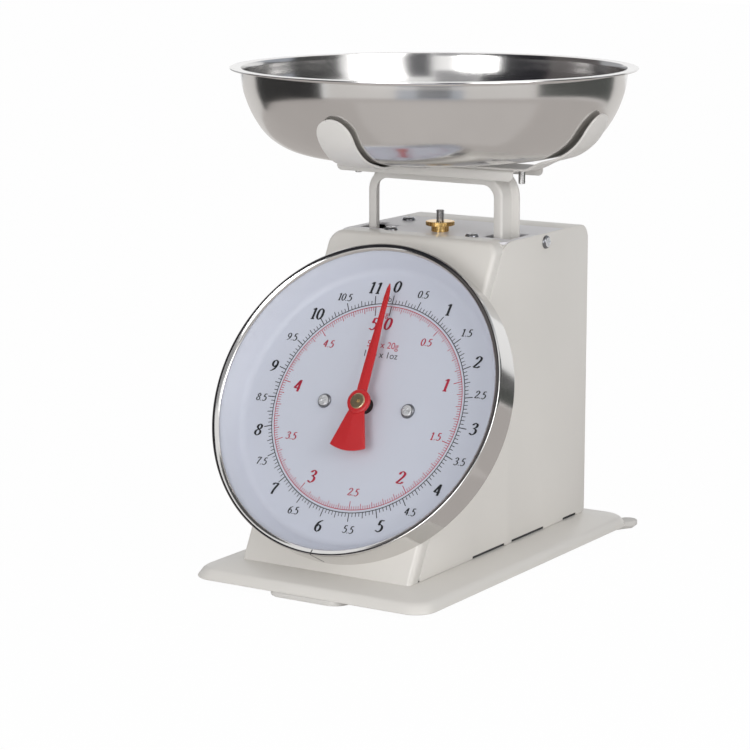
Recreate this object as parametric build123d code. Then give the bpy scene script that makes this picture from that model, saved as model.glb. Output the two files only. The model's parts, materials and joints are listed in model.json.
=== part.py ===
from build123d import *
from math import asin, cos, degrees, pi, radians, sin, tan
import os

# Dial kitchen scale with a lift-off bowl, in millimetres.
# +X is the right of the dial, +Y the back, +Z up, and Z = 0 is the table.
# A point on the sloping dial is written (x, v, w): v runs up the slope and
# w runs out of the dial, with w = 0 at the front rim of the bezel.

# Dial and slope
SLANT = 27.6
DIAL_Y = -78.7
DIAL_Z = 108.9
BEZEL_R = 94.1
BEZEL_DEPTH = 18.8
LIP_R = 90.0
DIAL_FLAT_R = 83.0
DIAL_DEPTH = 17.0
DIAL_SCREW_X = 28.5
DIAL_HOLE_R = 4.2
TAIL_R = 29.5

# Housing
HALF_W = 57.5
SHEET = 1.0
FACE_TOP_Z = 194.3
FLOOR_Z = 12.0
BACK_Y = 99.4
TOP_Z = 193.3
SEAM_Y = 70.0
CHASSIS_T = 1.5

# Moving frame
BAIL_Y = (12.1, 24.6)
BAIL_X = 46.4
BAIL_TOP = 229.6
PLATE_UNDER = 233.8
PLATE_TOP = 235.0
CROSS_T = 1.2
BAIL_T = 1.2
BAIL_FOOT_Z = 58.0
FLANGE_Z = 180.0
AXIS_Y = 19.0

# Bowl and cradle
BOWL_Y = 11.0
BOWL_SEAT_Z = 240.0
BOWL_RIM_R = 120.0
BOWL_RIM_Z = 292.0
BOWL_T = 0.9

# Movement: the rack drives the pointer round the whole graduation
GEAR_MODULE = 0.4
PINION_TEETH = 11
DIAL_SWEEP = 349.6
PITCH_R = GEAR_MODULE * PINION_TEETH / 2
TRAVEL = PITCH_R * radians(DIAL_SWEEP) / cos(radians(SLANT))

# Parallel levers
LEVER_L = 66.0
PIVOT_Y = 85.0
PIVOT_Z = (60.0, 150.0)
LEVER_TILT = degrees(asin(TRAVEL / 2 / LEVER_L))
PIN_Y = 19.2

# Spring and zero nut
WIRE_R = 0.9
COIL_R = 6.6
COILS = 14
COIL_PITCH = 2.3
COIL_TOP = 160.0
COIL_BOTTOM = COIL_TOP - COILS * COIL_PITCH
STUD_R = 2.5
STUD_TOP = 206.3

DIAL = Plane(
    origin=(0, DIAL_Y, DIAL_Z),
    x_dir=(1, 0, 0),
    z_dir=(0, -cos(radians(SLANT)), sin(radians(SLANT))),
)
parts = {}


def block(x0, x1, y0, y1, z0, z1):
    centre = Pos((x0 + x1) / 2, (y0 + y1) / 2, (z0 + z1) / 2)
    return centre * Box(x1 - x0, y1 - y0, z1 - z0)


def post(x, y, z0, z1, r):
    return Pos(x, y, (z0 + z1) / 2) * Cylinder(r, z1 - z0)


def rod(x0, x1, y, z, r):
    return Pos((x0 + x1) / 2, y, z) * Rot(0, 90, 0) * Cylinder(r, abs(x1 - x0))


def side_plate(points, x0, x1):
    outline = make_face(Polyline(*points, close=True))
    return extrude(Plane.YZ.offset(x0) * outline, x1 - x0)


def both_sides(solid):
    return solid + mirror(solid, about=Plane.YZ)


def turned(points, plane=Plane.XY):
    section = make_face(Polyline(*[(r, 0, z) for r, z in points], close=True))
    return plane.location * revolve(section, Axis.Z)


def face_y(z, w):
    """Y of the plane at depth w from the bezel front, at height z."""
    return DIAL_Y + (z - DIAL_Z) * tan(radians(SLANT)) - w / cos(radians(SLANT))


# Base tray: pressed sheet with a steep skirt and a top that rises to the housing
def tray_solid(levels):
    rings = []
    for z, half, y0, y1, r in levels:
        ring = RectangleRounded(2 * half, y1 - y0, r)
        rings.append(Pos(0, (y0 + y1) / 2, z) * ring)
    lower = loft([rings[0], rings[1]], ruled=True)
    upper = loft([rings[1], rings[2]], ruled=True)
    return lower + upper


tray_out = tray_solid([
    (3.0, 80.0, -130.2, 124.0, 14.0),
    (8.2, 77.0, -127.2, 121.0, 11.5),
    (12.0, 59.5, -110.0, 101.4, 5.0),
])
tray_in = tray_solid([
    (3.0, 78.8, -129.0, 122.8, 12.8),
    (7.2, 76.2, -126.4, 120.2, 10.7),
    (10.8, 58.7, -109.2, 100.6, 4.2),
])


# Rear feet: moulded lugs that fill a notch in each back corner of the tray
def lug(r, z):
    slot = SlotCenterToCenter(17.5, 2 * r)
    return Pos(72.5, 113.5, z) * Rot(0, 0, 59) * slot


lug_right = loft([lug(3.4, 0), lug(6.0, 2.2)], ruled=True)
lug_right += extrude(lug(6.0, 2.2), 2.8)
rear_feet = both_sides(lug_right)

# Front foot: one wide pad with a boss that locates inside the tray
foot = extrude(Pos(0, -120.0, 0) * RectangleRounded(52, 22, 10), 3.0)
foot += extrude(Pos(0, -118.0, 3.0) * RectangleRounded(42, 12, 5), 4.2)

base_screw_at = [(x, y) for x in (-50, 50) for y in (-60, 66)]
base_tray = tray_out - tray_in - rear_feet
base_screws = None
for x, y in base_screw_at:
    base_tray -= post(x, y, 9, 13, 2.0)
    screw = post(x, y, 10.8, 17.5, 2.0) + post(x, y, 8.6, 10.8, 3.8)
    base_screws = screw if base_screws is None else base_screws + screw

parts["base_tray"] = base_tray
parts["front_foot"] = foot
parts["rear_feet"] = rear_feet
parts["base_screws"] = base_screws


# Front cover: folded sheet with rounded shoulders, side returns and a top lip
def cover_solid(half, w_front, top, w_back, low, corner, shoulder):
    points = [
        (face_y(low, w_front), low),
        (face_y(top, w_front), top),
        (face_y(top, w_back), top),
        (face_y(low, w_back), low),
    ]
    solid = side_plate(points, -half, half)
    tops = solid.edges().filter_by(Axis.Y).group_by(Axis.Z)[-1]
    solid = fillet(tops, shoulder)
    face = max(solid.faces(), key=lambda f: f.normal_at().dot(DIAL.z_dir))
    low_z = face.edges().sort_by(Axis.Z)[0].center().Z
    rim = [e for e in face.edges() if e.center().Z > low_z + 1]
    return fillet(rim, corner)


cover = cover_solid(HALF_W, -18.8, FACE_TOP_Z, -26.3, 12.0, 6.0, 10.0)
cover -= cover_solid(HALF_W - SHEET, -19.8, TOP_Z, -40.0, 5.0, 5.0, 9.0)
cover += block(-46.5, 46.5, face_y(TOP_Z, -26.2), 1.0, TOP_Z, FACE_TOP_Z)
cover -= DIAL.location * Cylinder(1.05, 60)
for x in (-DIAL_SCREW_X, DIAL_SCREW_X):
    cover -= DIAL.location * Pos(x, 0, -19) * Cylinder(1.75, 8)
parts["front_cover"] = cover

# Side panels: flat sheets with rounded corners and a tabbed lower edge
panel = side_plate(
    [
        (face_y(FLOOR_Z, -26.6), FLOOR_Z),
        (face_y(TOP_Z, -26.6), TOP_Z),
        (BACK_Y, TOP_Z),
        (BACK_Y, FLOOR_Z),
    ],
    HALF_W - SHEET,
    HALF_W,
)
panel_edges = panel.edges().filter_by(Axis.X)
panel_low = panel_edges.group_by(Axis.Z)[0]
panel = fillet(panel_low, 4.0)
panel_top = panel.edges().filter_by(Axis.X).group_by(Axis.Z)[-1]
panel = fillet(panel_top, 9.5)
for y0, y1 in ((-38.4, -0.7), (7.7, 47.3), (71.6, 88.6)):
    panel -= block(50, 60, y0, y1, 11, 13.6)
panel -= rod(54, 60, 45, 188, 1.75)
parts["side_panel_right"] = panel
parts["side_panel_left"] = mirror(panel, about=Plane.YZ)

# Top plate with the two slots for the bail and a hole for the zero stud
top_plate = block(-56.5, 56.5, -4.6, SEAM_Y - 0.1, TOP_Z - 1.5, TOP_Z)
slot = Pos(44.75, 18.75, TOP_Z) * extrude(RectangleRounded(15, 19.5, 1.5), 6, both=True)
slot += Pos(48.75, 26.25, TOP_Z) * extrude(RectangleRounded(7, 18.5, 1.5), 6, both=True)
top_plate -= both_sides(slot)
top_plate -= post(0, AXIS_Y, 190, 195, 2.9)
top_screw_at = [(-28, 8.5), (28, 8.5), (-42.5, 52.5), (30, 52.5)]

# Chassis: two cheeks joined by two rails, with flanges on the tray
cheek = side_plate(
    [
        (face_y(FLOOR_Z, -27.0), FLOOR_Z),
        (face_y(TOP_Z - 1.5, -27.0), TOP_Z - 1.5),
        (88.0, TOP_Z - 1.5),
        (98.4, 181.4),
        (98.4, FLOOR_Z),
    ],
    HALF_W - SHEET - CHASSIS_T,
    HALF_W - SHEET,
)
cheek += block(44, 55, -90, 96, FLOOR_Z, FLOOR_Z + CHASSIS_T)
cheek -= rod(54, 60, 45, 188, 1.75)
for z in PIVOT_Z:
    cheek -= rod(54, 60, PIVOT_Y, z, 2.0)
chassis = both_sides(cheek)
chassis += block(-55, 55, -4.0, 8.6, TOP_Z - 3.0, TOP_Z - 1.5)
chassis += block(-33, 33, -4.0, 13.5, TOP_Z - 3.0, TOP_Z - 1.5)
chassis += block(-55, 55, 45.0, 60.0, TOP_Z - 3.0, TOP_Z - 1.5)
for x, y in base_screw_at:
    chassis -= post(x, y, 9, 16, 2.0)

top_screws = None
for x, y in top_screw_at:
    top_plate -= post(x, y, 185, 195, 2.0)
    chassis -= post(x, y, 185, 195, 2.0)
    head = Pos(x, y, TOP_Z) * extrude(Circle(4.0), 2.2)
    head = fillet(head.edges().group_by(Axis.Z)[-1], 1.4)
    head -= block(x - 0.5, x + 0.5, y - 5, y + 5, TOP_Z + 1.3, TOP_Z + 3)
    screw = head + post(x, y, 184, TOP_Z, 2.0)
    top_screws = screw if top_screws is None else top_screws + screw
parts["top_plate"] = top_plate
parts["chassis_frame"] = chassis
parts["top_screws"] = top_screws

side_head = Pos(HALF_W, 45, 188) * Rot(0, 90, 0) * extrude(Circle(4.0), 2.2)
side_head = fillet(side_head.edges().group_by(Axis.X)[-1], 1.4)
side_head -= block(HALF_W + 1.3, HALF_W + 3, 44.5, 45.5, 180, 196)
side_screw = side_head + rod(50, HALF_W, 45, 188, 1.75)
parts["side_screws"] = both_sides(side_screw)

# Back cover: rises, bends forward over a wide radius and meets the top plate
back_face = make_face(
    Curve() + [
        Line((99.4, FLOOR_Z), (99.4, 183.3)),
        RadiusArc((99.4, 183.3), (89.4, TOP_Z), -10.0),
        Line((89.4, TOP_Z), (SEAM_Y, TOP_Z)),
        Line((SEAM_Y, TOP_Z), (SEAM_Y, TOP_Z - 1.0)),
        Line((SEAM_Y, TOP_Z - 1.0), (89.4, TOP_Z - 1.0)),
        RadiusArc((89.4, TOP_Z - 1.0), (98.4, 183.3), 9.0),
        Line((98.4, 183.3), (98.4, FLOOR_Z)),
        Line((98.4, FLOOR_Z), (99.4, FLOOR_Z)),
    ]
)
parts["back_cover"] = extrude(Plane.YZ.offset(-56.5) * back_face, 113.0)

# Dial assembly, all turned about the dial axis
parts["dial_case"] = turned(
    [(3.0, -18.8), (93.1, -18.8), (93.1, -3.4), (92.1, -3.4), (92.1, -17.8), (3.0, -17.8)],
    DIAL,
)
parts["dial_plate"] = turned(
    [
        (DIAL_HOLE_R, -17.8), (DIAL_FLAT_R + 0.4, -17.8), (91.0, -3.4), (93.1, -3.4),
        (93.1, -2.6), (90.4, -2.6), (DIAL_FLAT_R - 0.2, -DIAL_DEPTH), (DIAL_HOLE_R, -DIAL_DEPTH),
    ],
    DIAL,
)
parts["crystal"] = turned([(0, -2.6), (93.1, -2.6), (93.1, -1.0), (0, -1.0)], DIAL)
parts["bezel_ring"] = turned(
    [
        (93.2, -BEZEL_DEPTH), (BEZEL_R, -BEZEL_DEPTH), (BEZEL_R, -1.2), (93.0, 0),
        (90.8, 0), (LIP_R, -1.0), (93.2, -1.0),
    ],
    DIAL,
)
dial_screws = None
for x in (-DIAL_SCREW_X, DIAL_SCREW_X):
    hole = DIAL.location * Pos(x, 0, -18) * Cylinder(1.75, 8)
    parts["dial_case"] -= hole
    parts["dial_plate"] -= hole
    head = extrude(Circle(4.2), 2.1)
    head = fillet(head.edges().group_by(Axis.Z)[-1], 1.2)
    head -= Pos(0, 0, 2.1) * (Box(0.9, 4.4, 2.0) + Box(4.4, 0.9, 2.0))
    head = Pos(x, 0, -DIAL_DEPTH) * head
    head += Pos(x, 0, -20.5) * Cylinder(1.75, 7)
    screw = DIAL.location * head
    dial_screws = screw if dial_screws is None else dial_screws + screw
parts["dial_screws"] = dial_screws

# Movement bracket: a channel welded behind the cover, open on the rack side
bracket = Pos(-16, 0, -20.4) * Box(16, 16, 1.2)
bracket += Pos(-8.6, 0, -32.5) * Box(1.2, 16, 25.4)
bracket += Pos(-2.85, 0, -44.6) * Box(12.7, 16, 1.2)
bracket -= Pos(0, 0, -44.6) * Cylinder(1.05, 4)
parts["movement_bracket"] = DIAL.location * bracket

# Pinion: straight-sided approximation of the involute, thinned for backlash
tooth_angle = 360 / PINION_TEETH
pinion_points = []
for i in range(PINION_TEETH):
    a = i * tooth_angle
    root_r = PITCH_R - 1.2 * GEAR_MODULE
    tip_r = PITCH_R + 0.95 * GEAR_MODULE
    steps = [(root_r, -12.0), (PITCH_R, -7.2), (tip_r, -2.9)]
    steps += [(tip_r, 2.9), (PITCH_R, 7.2), (root_r, 12.0)]
    for r, turn in steps:
        angle = radians(a + turn)
        pinion_points.append((r * cos(angle), r * sin(angle)))
pinion_face = make_face(Polyline(*pinion_points, close=True))
shaft = Pos(0, 0, -25.6) * Cylinder(1.0, 41.2)
shaft += Pos(0, 0, -41.5) * extrude(pinion_face, 12.5)
shaft += Pos(0, 0, -42.6) * Cylinder(1.8, 2.2)
shaft += Pos(0, 0, -24.55) * Cylinder(1.8, 8.9)
parts["pinion_shaft"] = DIAL.location * shaft

# Rack: meshes on the right of the pinion, in a plane parallel to the dial
pitch = pi * GEAR_MODULE
rack_points = [(6.2, -3.4), (6.2, 17.0)]
root_x = PITCH_R + 1.25 * GEAR_MODULE
tip_x = PITCH_R - 0.95 * GEAR_MODULE
rack_points.append((root_x, 17.0))
for i in range(12, -3, -1):
    gap = (i + 0.5) * pitch
    if i == 12:
        rack_points.append((root_x, gap + 0.50))
    rack_points.append((tip_x, gap + 0.12))
    rack_points.append((tip_x, gap - 0.12))
    rack_points.append((root_x, gap - 0.43))
    if i > -2:
        rack_points.append((root_x, gap - pitch + 0.43))
rack_points.append((root_x, -3.4))
rack_face = make_face(Polyline(*rack_points, close=True))
parts["rack"] = DIAL.location * Pos(0, 0, -33) * extrude(rack_face, 3)

# Pointer with its domed boss, and the small cap that pins it to the shaft
needle = Polygon(
    (0, 72.5), (-1.1, 69.5), (-1.6, 64), (-1.8, 50), (-2.95, 30), (-2.95, 0),
    (2.95, 0), (2.95, 30), (1.8, 50), (1.6, 64), (1.1, 69.5), align=None,
)
tail = make_face(
    Polyline((12.0, TAIL_R * -0.9), (3.6, 0), (-3.6, 0), (-12.0, TAIL_R * -0.9))
    + ThreePointArc((-12.0, TAIL_R * -0.9), (0, -TAIL_R), (12.0, TAIL_R * -0.9))
)
pointer = Pos(0, 0, -9.0) * extrude(needle + tail, 0.8)
pointer += Pos(0, 0, -9.0) * extrude(Circle(8.0), 3.4)
pointer -= Pos(0, 0, -8) * Cylinder(1.0, 10)
parts["pointer"] = DIAL.location * pointer
cap = extrude(Circle(4.7), 1.1) - Cylinder(1.0, 1.2)
parts["pointer_cap"] = DIAL.location * Pos(0, 0, -5.6) * cap


# Bail: one strip with a web, an inward front flange and an outward rear flange
def arch(half, top, r, foot_z):
    sketch = Pos(0, (top + foot_z) / 2) * Rectangle(2 * half, top - foot_z)
    return fillet(sketch.vertices().group_by(Axis.Y)[-1], r)


def arch_plate(outer, inner, y0, y1):
    return extrude(Plane.XZ.offset(-y0) * (outer - inner), y0 - y1)


bail_inner = arch(BAIL_X - BAIL_T, BAIL_TOP - BAIL_T, 12.3, 0)
bail = arch_plate(arch(BAIL_X, BAIL_TOP, 13.5, BAIL_FOOT_Z), bail_inner, *BAIL_Y)
bail += arch_plate(
    arch(BAIL_X, BAIL_TOP, 13.5, FLANGE_Z),
    arch(40.7, 224.5, 9.5, 0),
    BAIL_Y[0],
    BAIL_Y[0] + BAIL_T,
)
bail += arch_plate(
    arch(51.2, PLATE_UNDER, 17.5, FLANGE_Z),
    bail_inner,
    BAIL_Y[1] - BAIL_T,
    BAIL_Y[1],
)
pin_z = [z + TRAVEL / 2 for z in PIVOT_Z]
SPRING_BAR_Z = COIL_BOTTOM - COIL_R + WIRE_R + 2.5
for z in pin_z:
    bail -= rod(-60, 60, PIN_Y, z, 2.0)
bail -= rod(-60, 60, AXIS_Y, SPRING_BAR_Z, 2.5)
parts["bail"] = bail
parts["spring_bar"] = rod(-BAIL_X, BAIL_X, AXIS_Y, SPRING_BAR_Z, 2.5)

# Rack carrier: plate across the legs with an arm that reaches to the rack
carrier = block(-BAIL_X, BAIL_X, 10.6, 12.1, 96, 118)
carrier += side_plate(
    [
        (-53.7, 91.9), (-44.3, 110.0), (-36.0, 113.0), (10.8, 113.0),
        (10.8, 101.0), (-40.0, 93.0), (-48.4, 89.1),
    ],
    6.2,
    7.7,
)
parts["rack_carrier"] = carrier

# Cradle plate: channel under the cross, open at both ends
plate = block(-60.3, 60.3, -1.2, 36.0, 228.5, 235.0)
plate = fillet(plate.edges().filter_by(Axis.X).group_by(Axis.Z)[-1], 1.6)
plate = fillet(plate.edges().filter_by(Axis.Y).group_by(Axis.Z)[0], 3.2)
plate -= block(-61, 61, 0.0, 34.8, 220.0, PLATE_UNDER)

# Bowl: spun sheet with a flat bottom, a round knuckle and a plain flat rim
wall = [
    (60.0, BOWL_SEAT_Z), (66.0, 240.15), (70.0, 240.5), (75.0, 241.3), (80.0, 242.4),
    (85.5, 244.2), (90.4, 246.6), (94.8, 249.5), (98.5, 252.7), (101.4, 256.0), (104.0, 259.8),
    (106.2, 263.5), (107.9, 266.8), (110.6, 273.5), (112.5, 280.0), (113.4, 286.0), (113.8, 290.0),
]


def shifted(line, distance):
    """A curve of (radius, height) moved outwards by a distance."""
    moved = []
    for i, (r, z) in enumerate(line):
        r0, z0 = line[max(i - 1, 0)]
        r1, z1 = line[min(i + 1, len(line) - 1)]
        length = ((r1 - r0) ** 2 + (z1 - z0) ** 2) ** 0.5
        moved.append((r + distance * (z1 - z0) / length, z - distance * (r1 - r0) / length))
    return moved


bowl_loop = [(0, BOWL_SEAT_Z + BOWL_T)] + shifted(wall, -BOWL_T)
bowl_loop += [(114.2, BOWL_RIM_Z), (BOWL_RIM_R, BOWL_RIM_Z)]
bowl_loop += [(BOWL_RIM_R, BOWL_RIM_Z - 1.0), (115.0, BOWL_RIM_Z - 1.0)]
bowl_loop += wall[::-1] + [(0, BOWL_SEAT_Z)]
parts["bowl"] = Pos(0, BOWL_Y, 0) * turned(bowl_loop)

# Cradle cross: two crossing strips, turned up round the bowl at their ends.
# The side arms lie on the plate; the front and back arms step up beyond it.
upturn = [
    (81.0, 240.4), (85.0, 241.4), (90.5, 243.2), (95.2, 245.7), (99.3, 248.7), (103.0, 252.2),
    (106.0, 256.0), (108.4, 260.0), (110.4, 264.0), (112.5, 269.3),
]
side_line = [(0, PLATE_TOP), (69.0, PLATE_TOP), (72.0, 236.3), (75.0, 237.9), (78.0, 239.3)]
front_line = [(0, PLATE_TOP), (29.0, PLATE_TOP), (35.0, 238.8), (74.0, 238.8), (78.0, 239.5)]
ARM_W = 11.6
ARM_TIP_Z = 269.2
tip_z = ARM_TIP_Z - ARM_W
arm_outline = Pos(0, tip_z) * Circle(ARM_W) + Pos(0, tip_z - 30) * Rectangle(2 * ARM_W, 60)
arm_mask = extrude(Plane.XZ * arm_outline, 130, both=True)
cross = None
for line, mask in ((front_line, arm_mask), (side_line, Rot(0, 0, 90) * arm_mask)):
    under = line + upturn
    strip = turned(shifted(under, -CROSS_T) + under[::-1]) & mask
    cross = strip if cross is None else cross + strip
cross += post(0, 0, PLATE_TOP, PLATE_TOP + CROSS_T, 24)
cross = Pos(0, BOWL_Y, 0) * cross

cradle_screws = None
for x in (-56.5, 56.5):
    cone = Pos(x, 17, 235.1) * Cone(2.0, 3.8, 1.8)
    shank = post(x, 17, 225.5, 234.2, 2.0)
    screw = shank + cone
    cross -= post(x, 17, 230, 240, 2.0) + cone
    plate -= post(x, 17, 226, 240, 2.0) + cone
    cradle_screws = screw if cradle_screws is None else cradle_screws + screw
parts["cradle_plate"] = plate
parts["cradle_cross"] = cross
parts["cradle_screws"] = cradle_screws


# Levers: two arms and a tie rod, pivoted on the chassis, slotted at the bail
def lever(z):
    centre = Plane.YZ * Pos(PIVOT_Y - LEVER_L / 2 * cos(radians(LEVER_TILT)), z + TRAVEL / 4)
    arm = centre * Rot(0, 0, -LEVER_TILT) * SlotCenterToCenter(LEVER_L, 9.0)
    solid = Pos(48.5, 0, 0) * extrude(arm, 1.5)
    solid -= rod(45, 55, PIVOT_Y, z, 2.06)
    front = Plane.YZ * Pos(PIN_Y, z + TRAVEL / 2) * Rot(0, 0, -LEVER_TILT)
    solid -= Pos(48, 0, 0) * extrude(front * SlotCenterToCenter(1.2, 4.3), 3)
    solid = both_sides(solid)
    return solid + rod(-48.6, 48.6, 74.0, z + 1.3, 2.5)


parts["lower_lever"] = lever(PIVOT_Z[0])
parts["upper_lever"] = lever(PIVOT_Z[1])

carriage_pins = None
lever_pivots = None
for side in (-1, 1):
    for z in pin_z:
        pin = rod(side * 45.2, side * 50.4, PIN_Y, z, 2.0)
        pin += rod(side * 46.4, side * 48.2, PIN_Y, z, 3.2)
        pin += rod(side * 50.3, side * 51.5, PIN_Y, z, 3.2)
        carriage_pins = pin if carriage_pins is None else carriage_pins + pin
    for z in PIVOT_Z:
        pin = rod(side * 47.1, side * 56.5, PIVOT_Y, z, 2.0)
        pin += rod(side * 47.0, side * 48.2, PIVOT_Y, z, 3.2)
        pin += rod(side * 50.3, side * 55.0, PIVOT_Y, z, 3.2)
        lever_pivots = pin if lever_pivots is None else lever_pivots + pin
parts["carriage_pins"] = carriage_pins
parts["lever_pivots"] = lever_pivots

# Spring: extension coil with a half loop at each end
helix = Helix(COIL_PITCH, COILS * COIL_PITCH, COIL_R)
coil = sweep(Plane(helix @ 0, z_dir=helix % 0) * RegularPolygon(WIRE_R, 6), path=helix, is_frenet=True)
coil = Pos(0, AXIS_Y, COIL_BOTTOM) * Rot(0, 0, 90) * coil
ring = Torus(COIL_R, WIRE_R)
ring = Rot(0, 90, 0) * ring
low_loop = Pos(0, AXIS_Y, COIL_BOTTOM) * (ring & block(-9, 9, -9, 9, -9, 0))
high_loop = Pos(0, AXIS_Y, COIL_TOP) * (ring & block(-9, 9, -9, 9, 0, 9))
parts["spring"] = coil + low_loop + high_loop

# Hanger: cross pin, yoke and threaded stud that carry the spring
pin_height = COIL_TOP + COIL_R - WIRE_R - 2.5
yoke = block(-5.5, 5.5, 14, 24, 168, 172)
yoke += both_sides(block(3.5, 5.5, 14, 24, 161.3, 172))
yoke += rod(-5.5, 5.5, AXIS_Y, pin_height, 2.5)
yoke -= post(0, AXIS_Y, 169, 173, STUD_R)
parts["spring_yoke"] = yoke
stud = post(0, AXIS_Y, 169, STUD_TOP, STUD_R)
parts["hanger_stud"] = chamfer(stud.edges().group_by(Axis.Z)[-1], 0.6)

# Zero nut: knurled disc on a hub that bears on the top plate
knurl = []
for i in range(72):
    r = 8.7 if i % 2 else 8.25
    knurl.append((r * cos(i * pi / 36), r * sin(i * pi / 36)))
nut = Pos(0, 0, 198.0) * extrude(make_face(Polyline(*knurl, close=True)), 4.0)
nut += post(0, 0, TOP_Z + 0.05, 198.2, 5.25)
nut -= post(0, 0, 190, 205, STUD_R + 0.05)
parts["zero_nut"] = Pos(0, AXIS_Y, 0) * nut

os.makedirs("parts", exist_ok=True)
for name, solid in parts.items():
    export_step(solid, f"parts/{name}.step")
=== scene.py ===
import json
from math import cos, pi, radians, sin, sqrt

import bmesh
import bpy
from mathutils import Matrix, Vector


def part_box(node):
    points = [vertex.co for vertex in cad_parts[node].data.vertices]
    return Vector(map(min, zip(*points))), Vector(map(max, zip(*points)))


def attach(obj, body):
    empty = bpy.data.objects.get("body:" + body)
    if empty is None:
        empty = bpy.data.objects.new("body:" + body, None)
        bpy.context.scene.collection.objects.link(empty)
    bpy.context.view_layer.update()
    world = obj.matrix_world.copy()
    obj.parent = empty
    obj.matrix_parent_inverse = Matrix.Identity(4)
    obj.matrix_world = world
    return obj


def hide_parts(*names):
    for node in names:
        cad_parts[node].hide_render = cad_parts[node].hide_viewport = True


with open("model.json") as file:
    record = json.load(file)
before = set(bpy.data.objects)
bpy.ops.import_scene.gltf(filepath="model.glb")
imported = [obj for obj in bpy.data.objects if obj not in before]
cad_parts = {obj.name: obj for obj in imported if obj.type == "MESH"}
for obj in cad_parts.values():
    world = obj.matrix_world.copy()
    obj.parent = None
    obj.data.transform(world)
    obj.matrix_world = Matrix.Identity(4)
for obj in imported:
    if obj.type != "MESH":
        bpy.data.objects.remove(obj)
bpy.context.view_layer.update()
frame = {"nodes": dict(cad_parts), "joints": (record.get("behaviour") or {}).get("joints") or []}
joints = {joint["name"]: joint for joint in frame["joints"]}
scene = bpy.context.scene
scene.view_settings.view_transform = "Standard"
MM = 0.001

# ---- studio table
# A wide white table with no visible edge. It stays white to the camera and to
# polished metal, and still takes the soft shadow under the tray.


def new_material(name):
    """A material, its node tree and its surface shader."""
    material = bpy.data.materials.new(name)
    material.use_nodes = True
    return material, material.node_tree, material.node_tree.nodes["Principled BSDF"]


def feed(tree, node, inputs):
    """Sets a node's inputs, each to a value or to another node's output."""
    for socket, value in inputs.items():
        if isinstance(value, bpy.types.NodeSocket):
            tree.links.new(value, node.inputs[socket])
        else:
            node.inputs[socket].default_value = value


def add_node(tree, kind, inputs, output=0, **settings):
    """Adds a node, feeds it, and returns one of its outputs."""
    node = tree.nodes.new("ShaderNode" + kind)
    for name, value in settings.items():
        setattr(node, name, value)
    feed(tree, node, inputs)
    return node.outputs[output]


def camera_or_gloss(tree):
    """One for what the camera or a polished surface sees, and nought otherwise."""
    rays = tree.nodes.new("ShaderNodeLightPath").outputs
    seen = {0: rays["Is Camera Ray"], 1: rays["Is Glossy Ray"]}
    return rays, add_node(tree, "Math", seen, operation="MAXIMUM")


def make_object(name, bm, material):
    """Turns a drawn shape into an object of one material."""
    mesh = bpy.data.meshes.new(name)
    bm.to_mesh(mesh)
    bm.free()
    mesh.materials.append(material)
    made = bpy.data.objects.new(name, mesh)
    scene.collection.objects.link(made)
    return made


TABLE_HALF = 6
GLOW_SHARE = 0.98
table, tree, matt = new_material("white_table")
feed(tree, matt, {"Base Color": (0.9, 0.9, 0.9, 1), "Roughness": 0.9})
glow = add_node(tree, "Emission", {"Color": (1, 1, 1, 1)})
share = add_node(tree, "Math", {0: camera_or_gloss(tree)[1], 1: GLOW_SHARE}, operation="MULTIPLY")
blend = add_node(tree, "MixShader", {0: share, 1: matt.outputs[0], 2: glow})
feed(tree, tree.nodes["Material Output"], {"Surface": blend})
bm = bmesh.new()
bmesh.ops.create_grid(bm, x_segments=1, y_segments=1, size=TABLE_HALF)
table_top = make_object("table_top", bm, table)

# ---- studio light
# A pale tent all round, a large soft box in front and one at the right, and cards
# that only polished metal sees: they give the bowl and the bezel their bands.
tent = bpy.data.worlds.new("tent")
scene.world = tent
tent.use_nodes = True
tree = tent.node_tree
fill_light = tree.nodes["Background"]
feed(tree, fill_light, {"Color": (0.97, 0.98, 1.0, 1), "Strength": 0.55})
backdrop = add_node(tree, "Background", {"Color": (1, 1, 1, 1)})
rays, seen = camera_or_gloss(tree)
seen_or_through = {0: seen, 1: rays["Is Transmission Ray"]}
clear_share = add_node(tree, "Math", seen_or_through, operation="MAXIMUM")
pick = add_node(tree, "MixShader", {0: clear_share, 1: fill_light.outputs[0], 2: backdrop})
feed(tree, tree.nodes["World Output"], {"Surface": pick})


def soft_box(name, place, aim, size, power):
    """A square light that faces a point."""
    lamp = bpy.data.lights.new(name, "AREA")
    lamp.shape = "SQUARE"
    lamp.size = size
    lamp.energy = power
    holder = bpy.data.objects.new(name, lamp)
    holder.location = place
    holder.rotation_euler = (Vector(aim) - Vector(place)).to_track_quat("-Z", "Y").to_euler()
    scene.collection.objects.link(holder)


soft_box("right_box", (1.75, -0.65, 0.85), (0, 0, 0.13), 1.1, 12.5)
soft_box("front_box", (0.1, -2.3, 0.55), (0, 0, 0.13), 1.0, 16.5)


def draw_line(bm, spots):
    """A run of edges: its points and its edges."""
    line = [bm.verts.new(spot) for spot in spots]
    return line, [bm.edges.new(pair) for pair in zip(line, line[1:])]


def turn_about_z(bm, degrees, verts):
    matrix = Matrix.Rotation(radians(degrees), 3, "Z")
    bmesh.ops.rotate(bm, cent=(0, 0, 0), matrix=matrix, verts=verts)


def sweep(bm, profile, start, degrees, steps):
    """Sweeps a line of points (radius, height) about Z, from an angle through an arc."""
    line, edges = draw_line(bm, [(r, 0, z) for r, z in profile])
    turn_about_z(bm, start, line)
    bmesh.ops.spin(
        bm, geom=line + edges, cent=(0, 0, 0), axis=(0, 0, 1), angle=radians(degrees), steps=steps
    )


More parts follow.
